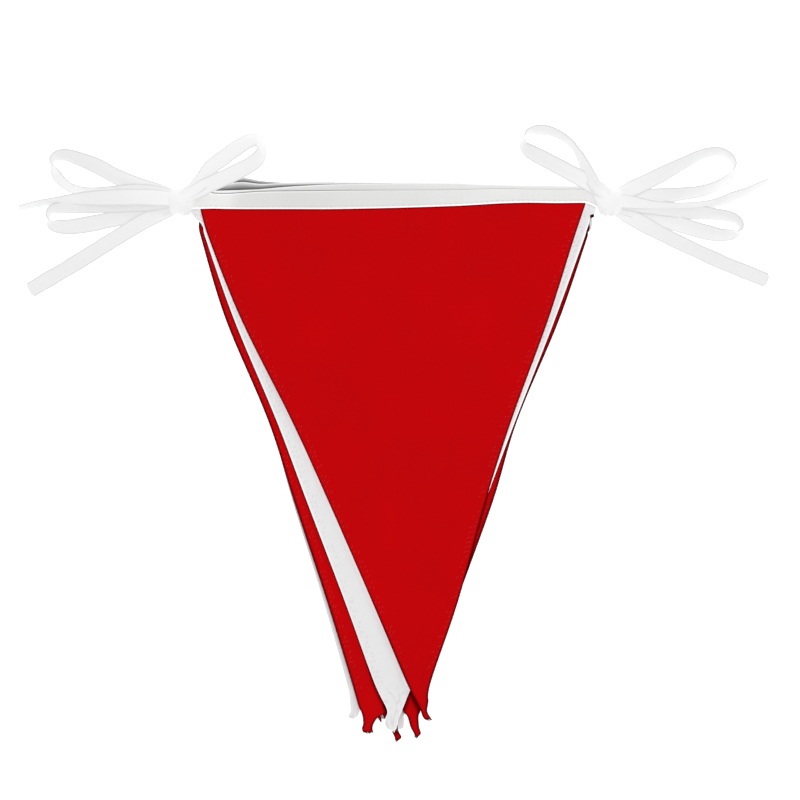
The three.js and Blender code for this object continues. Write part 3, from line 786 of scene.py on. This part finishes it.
def hem_stitches(layer):
    """Two uneven rows of short slanted stitches down both hems, some sunk into the cloth."""
    rng = np.random.default_rng(200 + layer)
    starts, ends = [], []
    for side, inward in ((0, 1), (1, -1)):
        for row in STITCH_ROWS:
            y = np.arange(STITCHES_FROM, PENNANTS[layer]["tail"][0][0], -STITCH_SPACING)
            y += rng.uniform(-0.4, 0.4, len(y))
            wide = side_x(layer, 1, y) - side_x(layer, 0, y) > STITCH_FROM_WIDTH
            y = y[wide & (rng.random(len(y)) < STITCH_SEEN)]
            x = side_x(layer, side, y) + inward * (row + rng.uniform(-0.35, 0.35, len(y)))
            slant = np.radians(STITCH_SLANTS[side] + rng.uniform(-14, 14, len(y)))
            half = STITCH_LENGTH / 2 * rng.uniform(0.7, 1.2, len(y))
            step = np.column_stack([np.cos(slant) * half, np.sin(slant) * half])
            starts.append(np.column_stack([x, y]) - step)
            ends.append(np.column_stack([x, y]) + step)
    ends_3d = []
    for points in (np.concatenate(starts), np.concatenate(ends)):
        z = face_height(layer, points[:, 0], points[:, 1]) + CLOTH / 2
        ends_3d.append(np.column_stack([points, z]))
    return threads(*ends_3d, STITCH_THICK)


FRAYS = 16
FRAY_THICK = 0.14


def frays(layer):
    """Loose weave threads that hang out of a tip's cut end."""
    rng = np.random.default_rng(500 + layer)
    left, right = (side_x(layer, side, foot(layer)) for side in (0, 1))
    x = rng.uniform(left, right, FRAYS)
    y = foot(layer) + rng.uniform(0.2, 0.6, FRAYS)
    z = face_height(layer, x, y)
    reach = rng.uniform(0.5, 1.4, FRAYS)
    starts = np.column_stack([x, y, z])
    ends = np.column_stack([x + rng.uniform(-0.6, 0.6, FRAYS), y - reach, np.maximum(z - 0.2, 0.15)])
    # An own-edge distance of 0 paints the loose threads wholly in the cloth's edge colour: painted shade
    # on red, a painted highlight on white.
    return threads(starts, ends, FRAY_THICK, own=0)


def shred(layer, root, root_y, end):
    """A torn strip of cloth, from its root on the pennant's tail to its narrow end."""
    share = np.linspace(0, 1, 7)[:, None]
    across = np.linspace(0, 1, 4)[None]
    left = root[0] + (end[0] - 0.35 - root[0]) * share
    right = root[1] + (end[0] + 0.35 - root[1]) * share
    x = left + (right - left) * across
    y = root_y + (end[1] - root_y) * share + 0 * across
    z = face_height(layer, x, y) - 0.15
    # Its sides get the red's painted edge shade.
    own = np.minimum(across, 1 - across) * (right - left) / TIP_BANDS["red"]
    bands = np.stack([own, NO_BAND + 0 * x, 0 * x], axis=2)
    return thin_cloth(np.stack([x, y, z], axis=2), np.stack([x, y], axis=2), CLOTH, bands)


for layer, pennant in enumerate(PENNANTS):
    colour = pennant["colour"]
    node = f"pennant_{layer + 1}_{colour}"
    middle, flat, bands = pennant_grid(layer)
    parts = [thin_cloth(middle, flat, CLOTH, bands), frays(layer)]
    parts += [shred(layer, *numbers) for numbers in pennant.get("shreds", [])]
    face = piece(f"{node}_cloth", parts, cloths[colour])
    sewing = piece(f"{node}_threads", [hem_stitches(layer)], sewing_threads[colour])
    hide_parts(node)

# Heading tape.
# One long white tape, folded in half over the top edges of all pennants and sewn near its open
# edge. It runs back and forth once for each pennant, and its folds are held by the ties.
TAPE_WIDTH = 8.2
TAPE_CLOTH = 0.22
# The width of the painted bright band along the tape's edges.
TAPE_BAND = 1.2
# How far apart the tape's two leaves are, where it turns back, and the steps along it there.
TAPE_LEAVES = 0.66
TAPE_END_X = 105.4
TAPE_STEP = 2.5
TURN_STEPS = 6
# The tape's section, from the front leaf's open edge over the fold to the back leaf's.
leaf = np.array([-1, -0.94, -0.8, -0.6, -0.3, 0, 0.3, 0.6, 0.86])
TAPE_SECTION = np.array(
    [(a, 0.5) for a in leaf] + [(0.97, 0.4), (1, 0), (0.97, -0.4)] + [(a, -0.5) for a in leaf[::-1]]
)


def tape_rows():
    """Low edge, high edge, height, up direction and layer for each row along the tape."""
    rows = []
    for turn_number in range(len(PENNANTS)):
        layer = LAST - turn_number
        outwards = 1 if turn_number % 2 == 0 else -1
        level = (LAST - layer) * PITCH + LAYER / 2
        for x in np.arange(-TAPE_END_X, TAPE_END_X + 0.1, TAPE_STEP) * outwards:
            low, high = tape_low(x, layer), tape_high(x, layer)
            rows.append((x, low, high, level + lift(x, (low + high) / 2), 0, outwards, layer))
        if turn_number == LAST:
            break
        x = outwards * TAPE_END_X
        low, high = tape_row(x, 1), tape_row(x, 2)
        for i in range(1, TURN_STEPS):
            turn = math.pi * i / TURN_STEPS
            z = level + lift(x, (low + high) / 2) + PITCH / 2 * (1 - math.cos(turn))
            x_out = x + outwards * PITCH / 2 * math.sin(turn)
            rows.append((x_out, low, high, z, -math.sin(turn), outwards * math.cos(turn), layer))
    return np.array(rows)


# Where along the tape it gets painted light, an emission as if the table's light came through it, and how
# much.
PAINTED_TAPE_LIGHT = ((-106, -84, -78, -40, 60, 106), (0.12, 0.12, 0, 0, 0.1, 0.13))
# Towards the right the back layers' painted bright edges and painted shade get weaker: how much, and start
# and reach.
WEAKER_RIGHT = 0.35
WEAKER_ALONG = (-50, 60)
# The first layers have a painted bright upper edge too, a little narrower than the painted bright lower
# one.
BRIGHT_TOPS = 3
TOP_NARROWER = 0.3
# A layer gets painted shade where it stands this far above those in front of it. The painted shade
# reaches as far as it stands out or a little further, and has one reach on the second layer.
SHADED_FROM = 0.4
SECOND_SHADE = 0.9
SHADE_REACH = 1.2
LEAST_REACH = 0.5


def tape_bands(rows, y):
    """The tape's painted bright edges, its back layers' painted shade where they go down behind others,
    and its painted light.
    """
    height = (rows[:, 2] - rows[:, 1])[:, None]
    weaker = WEAKER_RIGHT * eased(rows[:, 0:1], *WEAKER_ALONG)
    own = (1 + TAPE_SECTION[None, :, 0]) * height / 2 / TAPE_BAND
    from_high = (1 - TAPE_SECTION[None, :, 0]) * height / 2 / TAPE_BAND + TOP_NARROWER + weaker
    own = np.where(rows[:, 6:7] < BRIGHT_TOPS, np.minimum(own, from_high), own)
    painted_shade = np.full(y.shape, NO_BAND)
    for i, row in enumerate(rows):
        x, layer = row[0], int(row[6])
        if layer == 0:
            continue
        in_front = max(tape_high(x, above) for above in range(layer))
        if row[2] - in_front < SHADED_FROM:
            continue
        reach = SECOND_SHADE if layer == 1 else SHADE_REACH * (row[2] - in_front)
        faces_up = row[5] * TAPE_SECTION[:, 1] > 0
        painted_shade[i, faces_up] = (y[i, faces_up] - in_front) / max(reach, LEAST_REACH) + weaker[i]
    painted_light = np.broadcast_to(np.interp(rows[:, 0:1], *PAINTED_TAPE_LIGHT), y.shape)
    return np.stack([own, painted_shade, painted_light], axis=2)


rows = tape_rows()
half = ((rows[:, 2] - rows[:, 1]) / 2)[:, None]
tape_y = (rows[:, 1:2] + rows[:, 2:3]) / 2 + half * TAPE_SECTION[None, :, 0]
off = TAPE_LEAVES * TAPE_SECTION[None, :, 1]
tape_x = rows[:, 0:1] + off * rows[:, 4:5]
tape_z = rows[:, 3:4] + off * rows[:, 5:6]
tape_grid = np.stack([tape_x, tape_y, tape_z], axis=2)
section_steps = np.diff(TAPE_SECTION * (TAPE_WIDTH / 2, TAPE_LEAVES), axis=0)
around = np.concatenate([[0], np.cumsum(np.hypot(*section_steps.T))])
tape_middle = tape_grid.mean(axis=1)
tape_along = np.concatenate([[0], np.cumsum(np.linalg.norm(np.diff(tape_middle, axis=0), axis=1))])
tape_flat = np.stack(np.broadcast_arrays(around[None, :], tape_along[:, None]), axis=2)
# The tape's lighter edge colour is a painted highlight along its edges, its near-black colour for cloth in
# front is painted shade where the back layers go down behind others, and its rim value is a painted
# highlight that glows along the edges.
TAPE_WHITE = {
    "light": (0.81, 0.81, 0.805),
    "deep": (0.745, 0.745, 0.74),
    "edge": (0.93, 0.93, 0.93),
    "painted_shade": (0.13, 0.13, 0.13),
    "specular": 0.2,
    "painted_rim_light": 0.2,
}
tape_material = cloth_material("white_woven_tape", pitch=0.5, bump=0.35, roughness=0.75, **TAPE_WHITE)
tape_cloth = thin_cloth(tape_grid, tape_flat, TAPE_CLOTH, tape_bands(rows, tape_y))
tape = piece("heading_tape_cloth", [tape_cloth], tape_material)

# The seam that closes the tape: how far above its open edge, its stitches' length and spacing.
SEAM_UP = 1.3
SEAM_STITCH = 2.0
SEAM_PITCH = 2.6
SEAM_HALF = 98
seams = []
for layer in range(len(PENNANTS)):
    x = np.arange(-SEAM_HALF, SEAM_HALF, SEAM_PITCH)
    line = []
    for place in (x, x + SEAM_STITCH):
        y = tape_low(place, layer) + SEAM_UP
        z = (LAST - layer) * PITCH + LAYER / 2 + lift(place, y) + (TAPE_LEAVES + TAPE_CLOTH) / 2
        line.append(np.column_stack([place, y, z]))
    seams.append(threads(*line, STITCH_THICK))
tape_seam = piece("heading_tape_threads", seams, sewing_threads["white"])
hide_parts("heading_tape")

# Ribbon ties.
# At each end a flat white ribbon is tied round the folds of the heading in a bow: one loop lies
# over the heading, two loops point outwards, and two free ends are cut square.
RIBBON = 0.32
RIBBON_WIDTH = 8.2
RIBBON_STEPS = 8
RIBBON_COLUMNS = 17
# The width of the painted shade along a ribbon's woven edges.
RIBBON_BAND = 1.0
CUT_CORNER = 1.8
# At the knot a ribbon is drawn in to this share of its width and opens out over this reach.
GATHER_SHARE = 0.72
GATHER_REACH = 16
# The pleats' height and reach, and how far across the ribbon they turn, in radians.
PLEAT = 0.22
PLEAT_REACH = 18
PLEAT_TURN = 5.5
# Away from the knot the ribbon is a little domed, rippled and uneven in width.
CROWN = 0.35
RIPPLE = 0.14
EDGE_WAVE = 0.1
# The woven edge: where it starts across half the ribbon, and how much thicker it is.
SELVEDGE_FROM = 0.85
SELVEDGE = 1.25
END_THICKNESS = 0.7
# How much painted light, an emission, the folds at the knot get as if they threw light on each other, and
# how far it reaches.
PAINTED_GATHER_LIGHT = 0.1
LIGHT_REACH = 22
# For each ribbon, places along it from the knot: x, y, height and how far it is rolled about
# its own length in degrees, where 0 lies flat and 90 stands on its edge.
LEFT_KNOT = (-106.4, 115.7)
LEFT_RIBBONS = [
    [
        (-105.4, 117.8, 13, 0),
        (-97.4, 124.4, 15, -14),
        (-92, 132.1, 15.2, -16),
        (-85.8, 136.9, 13.8, -12),
        (-79.4, 141.6, 11.8, -20),
        (-73.9, 145.1, 10, -30),
        (-69.2, 146.2, 8.8, -44),
        (-66.9, 143.4, 8.6, -58),
        (-66.9, 139.4, 9.4, -48),
        (-69.5, 135.7, 11.4, -20),
        (-74.6, 132.3, 13.8, -10),
        (-81, 129, 15.8, -6),
        (-88.6, 125.5, 16.6, -4),
        (-96.2, 122, 15.4, -4),
        (-105.8, 117, 13.2, 0),
    ],
    [
        (-108.5, 117.4, 8.6, 0),
        (-122.5, 121.7, 9, -10),
        (-136.5, 126.6, 9.6, -14),
        (-148.9, 133.2, 9.6, -18),
        (-158.5, 137, 8.6, -34),
        (-165.6, 138.7, 7.6, -46),
        (-170.1, 136.8, 6.6, -58),
        (-171, 133.4, 5.8, -102),
        (-168.8, 128.5, 5.4, -130),
        (-165.2, 124.5, 5.4, -127),
        (-160.2, 121.6, 5.6, -120),
        (-152.4, 120.6, 6.2, -114),
        (-142.5, 120.2, 7.6, -132),
        (-132.5, 120.4, 9.2, -150),
        (-122.5, 120, 10.4, -166),
        (-109.5, 117.6, 10, -180),
    ],
    [
        (-110, 115.8, 6.6, 0),
        (-127.5, 114.4, 6, -8),
        (-142.5, 113.8, 5.4, -18),
        (-157.5, 113, 5.2, -30),
        (-166.5, 112.4, 4.8, -42),
        (-171.8, 110.8, 4.4, -58),
        (-173, 107.4, 4.2, -80),
        (-171.4, 104, 3.8, -128),
        (-165.2, 102.8, 2.8, -154),
        (-157.5, 103.4, 2.2, -170),
        (-147.5, 105.2, 2.4, -174),
        (-136.5, 107.6, 3.2, -174),
        (-124.5, 110.4, 4.4, -174),
        (-110, 113.6, 5.6, -180),
    ],
    [
        (-110, 116.6, 11, 0),
        (-124, 117.4, 12.6, -4),
        (-137.5, 117.4, 12.8, -10),
        (-148.5, 117.2, 12, -26),
        (-158.5, 116.7, 10.2, -46),
        (-167.5, 115.8, 8.4, -60),
        (-177.5, 114.4, 6.2, -66),
        (-188, 112, 4.4, -72),
    ],
    [
        (-109.5, 112.6, 5, 0),
        (-123, 106.8, 3.8, -4),
        (-139.4, 97.2, 2.8, -10),
        (-157.4, 86, 2, -12),
        (-168.6, 79.3, 1.6, -12),
        (-176.4, 74.75, 1.6, -12),
        (-183, 70.9, 1.6, -12),
    ],
]
RIGHT_KNOT = (106.8, 115.4)
RIGHT_RIBBONS = [
    [
        (106.5, 118.4, 13, 0),
        (100.4, 122.8, 16, -30),
        (97.4, 127.8, 15.4, -42),
        (94.6, 133.2, 13.8, -50),
        (92.2, 138, 12, -60),
        (90.2, 141.6, 10.9, -68),
        (87.8, 144.7, 10, -66),
        (83, 148.2, 8.8, -60),
        (77.3, 150.6, 7.8, -56),
        (71.6, 151.3, 7.2, -56),
        (66.6, 150.2, 6.8, -70),
        (63.9, 146.8, 6.9, -98),
        (64.4, 143, 7.6, -122),
        (68, 140.1, 9, -150),
        (75.5, 136, 11.6, -164),
        (85.5, 130.7, 13.4, -172),
        (95.2, 125.4, 13.6, -176),
        (106.5, 118.6, 12.4, -180),
    ],
    [
        (109, 117.6, 9.6, 0),
        (120.5, 122.8, 10.2, 10),
        (132.5, 128.6, 10, 22),
        (144, 134.6, 9, 42),
        (153.5, 139.2, 7.8, 56),
        (161.5, 140.4, 6.6, 60),
        (167.2, 138, 5.8, 64),
        (169.4, 133.8, 5.4, 74),
        (168, 128.8, 5.1, 112),
        (163.4, 124.9, 5, 120),
        (154.5, 121, 5.4, 132),
        (141.5, 119, 6.4, 146),
        (126.5, 117.8, 7.8, 168),
        (109.5, 116.4, 8.6, 180),
    ],
    [
        (109.5, 115.8, 6.6, 0),
        (125, 113.4, 5.6, 6),
        (142.5, 110.9, 4.6, 20),
        (157.5, 109.4, 4.4, 40),
        (167.2, 108, 4.5, 52),
        (171.8, 105.4, 4.5, 62),
        (172.6, 102, 4.4, 80),
        (169.4, 99.2, 3.8, 126),
        (163, 98.8, 3.2, 140),
        (154.5, 100.4, 2.6, 158),
        (142.5, 103.9, 2.8, 166),
        (130, 108, 4.2, 174),
        (110.5, 113.6, 5.6, 180),
    ],
    [
        (109, 116.2, 11, 0),
        (118, 115, 11.4, 34),
        (128, 113.8, 11, 60),
        (142.5, 113.4, 10.2, 70),
        (152.5, 114, 9, 70),
        (161.5, 115, 6.6, 57),
        (169.5, 118.2, 5, 56),
        (178, 121.6, 4.8, 66),
        (187.6, 126.7, 4.5, 78),
    ],
    [
        (107.5, 113.2, 5, 0),
        (117.5, 107.8, 4.4, 8),
        (127.5, 102.3, 3.8, 18),
        (137, 97.4, 3, 26),
        (151, 90.8, 2.4, 28),
        (163, 85.3, 2.3, 28),
        (171, 82, 2.3, 28),
        (178, 79.2, 2.3, 28),
        (186.5, 75.8, 2.3, 28),
    ],
]


def unit(vectors):
    return vectors / np.linalg.norm(vectors, axis=-1, keepdims=True)


def ribbon(stations, knot, seed):
    """A ribbon through its stations, pleated where it enters the knot and a little uneven."""
    line = curve_through(stations, RIBBON_STEPS)
    middle, roll = line[:, :3], np.radians(line[:, 3])
    along = unit(np.gradient(middle, axis=0))
    sideways = unit(np.column_stack([-along[:, 1], along[:, 0], np.zeros(len(line))]))
    across = np.cos(roll)[:, None] * sideways + np.sin(roll)[:, None] * np.array([0, 0, 1])
    across = unit(across - along * np.sum(across * along, axis=1, keepdims=True))
    up = np.cross(along, across)
    travelled = np.concatenate([[0], np.cumsum(np.linalg.norm(np.diff(middle, axis=0), axis=1))])
    from_knot = np.hypot(middle[:, 0] - knot[0], middle[:, 1] - knot[1])
    open_share = smooth(from_knot / GATHER_REACH)
    width = RIBBON_WIDTH * (GATHER_SHARE + (1 - GATHER_SHARE) * open_share)
    share = np.linspace(-1, 1, RIBBON_COLUMNS)
    pleat = np.exp(-from_knot / PLEAT_REACH)[:, None] * PLEAT * np.cos(share * PLEAT_TURN + seed)
    crown = CROWN * (1 - share**2) * open_share[:, None]
    ripple = RIPPLE * uneven(travelled[:, None] * 0.35, share * 4, 300 + seed, 4)
    edge_wave = EDGE_WAVE * uneven(travelled, travelled * 0, 400 + seed, 5)
    grid = (
        middle[:, None]
        + across[:, None] * (share * (width / 2 + edge_wave)[:, None])[..., None]
        + up[:, None] * (pleat + crown + ripple)[..., None]
    )
    # The scissors' cut has slightly rounded corners.
    grid[-1] -= along[-1] * (CUT_CORNER * np.abs(share) ** 4)[:, None]
    grid[..., 2] = np.maximum(grid[..., 2], RIBBON / 2 + 0.05)
    thickness = RIBBON * np.where(np.abs(share) > SELVEDGE_FROM, SELVEDGE, 1)
    thickness[[0, -1]] = RIBBON * END_THICKNESS
    flat = np.stack(np.broadcast_arrays(share * RIBBON_WIDTH / 2, travelled[:, None]), axis=2)
    # Painted shade along the woven edges, weaker near the knot, and painted light that fades away from the
    # knot.
    own = (1 - np.abs(share)) * width[:, None] / 2 / RIBBON_BAND + 0.7 * (1 - open_share[:, None])
    painted_light = PAINTED_GATHER_LIGHT * np.exp(-from_knot / LIGHT_REACH)[:, None] + 0 * own
    bands = np.stack([own, NO_BAND + 0 * own, painted_light], axis=2)
    return thin_cloth(grid, flat, thickness[None], bands), travelled[-1]


# The knot: its middle's height, how far the wrap stands out from it along y and up, its width,
# and how much wider its upper side in the view is, towards the heading and away from it.
KNOT_MIDDLE = 6.9
KNOT_REACH = (7.2, 6.6)
KNOT_WIDTH = 13
KNOT_TAPERS = (0.3, 0.08)
# How much of its reach the wrap loses at its edge towards the heading and at the other.
DRAWN_IN = (0.16, 0.26)
# The wrap's creases, dents and crumpled lower side, as shares of its reach.
WRAP_CREASE = 0.02
WRAP_DENT = 0.045
WRAP_CRUMPLE = 0.07
# How much ribbon the wrap takes, and its steps round the knot and across.
WRAP_LENGTH = 43
WRAP_TURNS = 72
WRAP_COLUMNS = 19


def knot_wrap(knot, inward, seed):
    """A band of ribbon wrapped once round the loops, wider above, soft where it meets them."""
    turn = np.linspace(0, math.tau, WRAP_TURNS, endpoint=False)[:, None]
    share = np.linspace(-1, 1, WRAP_COLUMNS)
    inner = share * inward > 0
    drawn_in = np.where(inner, *DRAWN_IN) * np.abs(share) ** 3
    creases = WRAP_CREASE * np.sin(share * 5 + 1.6 * np.sin(turn + seed) + seed)
    creases = creases * (0.6 + 0.4 * np.cos(2 * turn))
    dents = WRAP_DENT * uneven(np.cos(turn) * 5 + share * 3, np.sin(turn) * 5, 600 + seed, 4)
    low_side = smooth((turn - 0.62 * math.pi) / 0.5) * (1 - smooth((turn - math.pi) / 0.5))
    crumple = WRAP_CRUMPLE * low_side * uneven(np.cos(turn) * 7, share * 6, 700 + seed, 1.3)
    reach = 1 - drawn_in + creases + dents + crumple
    y = knot[1] + np.cos(turn) * KNOT_REACH[0] * reach
    z = KNOT_MIDDLE + np.sin(turn) * KNOT_REACH[1] * reach
    x = knot[0] + share * KNOT_WIDTH / 2 * (1 + np.where(inner, *KNOT_TAPERS) * np.cos(turn))
    grid = np.stack([np.broadcast_to(x, y.shape), y, np.maximum(z, 0.3)], axis=2)
    length = turn / math.tau * WRAP_LENGTH
    flat = np.stack(np.broadcast_arrays(share * RIBBON_WIDTH / 2, length), axis=2)
    # The wrap gets half the painted gather light, and no painted edge shading or painted shade.
    bands = np.broadcast_to((NO_BAND, NO_BAND, PAINTED_GATHER_LIGHT / 2), grid.shape)
    return thin_cloth(grid, flat, RIBBON, bands, closed=True), WRAP_LENGTH


# The ribbon's darker edge colour is painted shade along its woven edges, its glow is painted light over
# the whole ribbon, and its colour for cloth on top never shows.
RIBBON_WHITE = {
    "light": (0.76, 0.76, 0.76),
    "deep": (0.73, 0.73, 0.732),
    "edge": (0.6, 0.6, 0.6),
    "painted_shade": (0.7, 0.7, 0.7),
    "specular": 0.2,
    "painted_glow": 0.2,
}
ribbon_material = cloth_material("white_ribbon_weave", pitch=0.5, bump=0.3, roughness=0.65, **RIBBON_WHITE)
for side, knot, ribbons, inward in (
    ("left", LEFT_KNOT, LEFT_RIBBONS, 1),
    ("right", RIGHT_KNOT, RIGHT_RIBBONS, -1),
):
    first_seed = 0 if side == "left" else 10
    made = [ribbon(stations, knot, first_seed + number) for number, stations in enumerate(ribbons)]
    made.append(knot_wrap(knot, inward, first_seed + 1))
    parts = [part for part, _ in made]
    tie = piece(f"tie_{side}_ribbon", parts, ribbon_material)
    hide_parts(f"tie_{side}")

# Floor and light.
# A plain white table that glows a little like a photographer's light table, and an even, soft
# light from all round with one large lamp high above.
FLOOR_SIDE = 6
FLOOR_DROP = 0.0002
half_side = FLOOR_SIDE / 2
floor_mesh = bpy.data.meshes.new("floor")
floor_corners = [(x * half_side, y * half_side, 0) for x, y in ((-1, -1), (1, -1), (1, 1), (-1, 1))]
floor_mesh.from_pydata(floor_corners, [], [(0, 1, 2, 3)])
floor = bpy.data.objects.new("floor", floor_mesh)
floor.location.z = -FLOOR_DROP
bpy.context.scene.collection.objects.link(floor)
floor_material = bpy.data.materials.new("white_table")
floor_material.use_nodes = True
floor_inputs = floor_material.node_tree.nodes["Principled BSDF"].inputs
floor_inputs["Base Color"].default_value = (0.9, 0.9, 0.9, 1)
floor_inputs["Roughness"].default_value = 0.9
floor_inputs["Specular IOR Level"].default_value = 0
floor_inputs["Emission Color"].default_value = (1, 1, 1, 1)
floor_inputs["Emission Strength"].default_value = 0.7
floor_mesh.materials.append(floor_material)

world = bpy.data.worlds.new("studio")
world.use_nodes = True
world.node_tree.nodes["Background"].inputs["Color"].default_value = (1, 1, 1, 1)
world.node_tree.nodes["Background"].inputs["Strength"].default_value = 0.81
bpy.context.scene.world = world
lamp = bpy.data.objects.new("soft_light", bpy.data.lights.new("soft_light", "AREA"))
lamp.data.size = 2
lamp.data.energy = 12
lamp.location = (0.5, 0.9, 2.2)
lamp.rotation_mode = "QUATERNION"
lamp.rotation_quaternion = (-lamp.location).to_track_quat("-Z", "Y")
bpy.context.scene.collection.objects.link(lamp)
bpy.context.scene.view_settings.view_transform = "Standard"
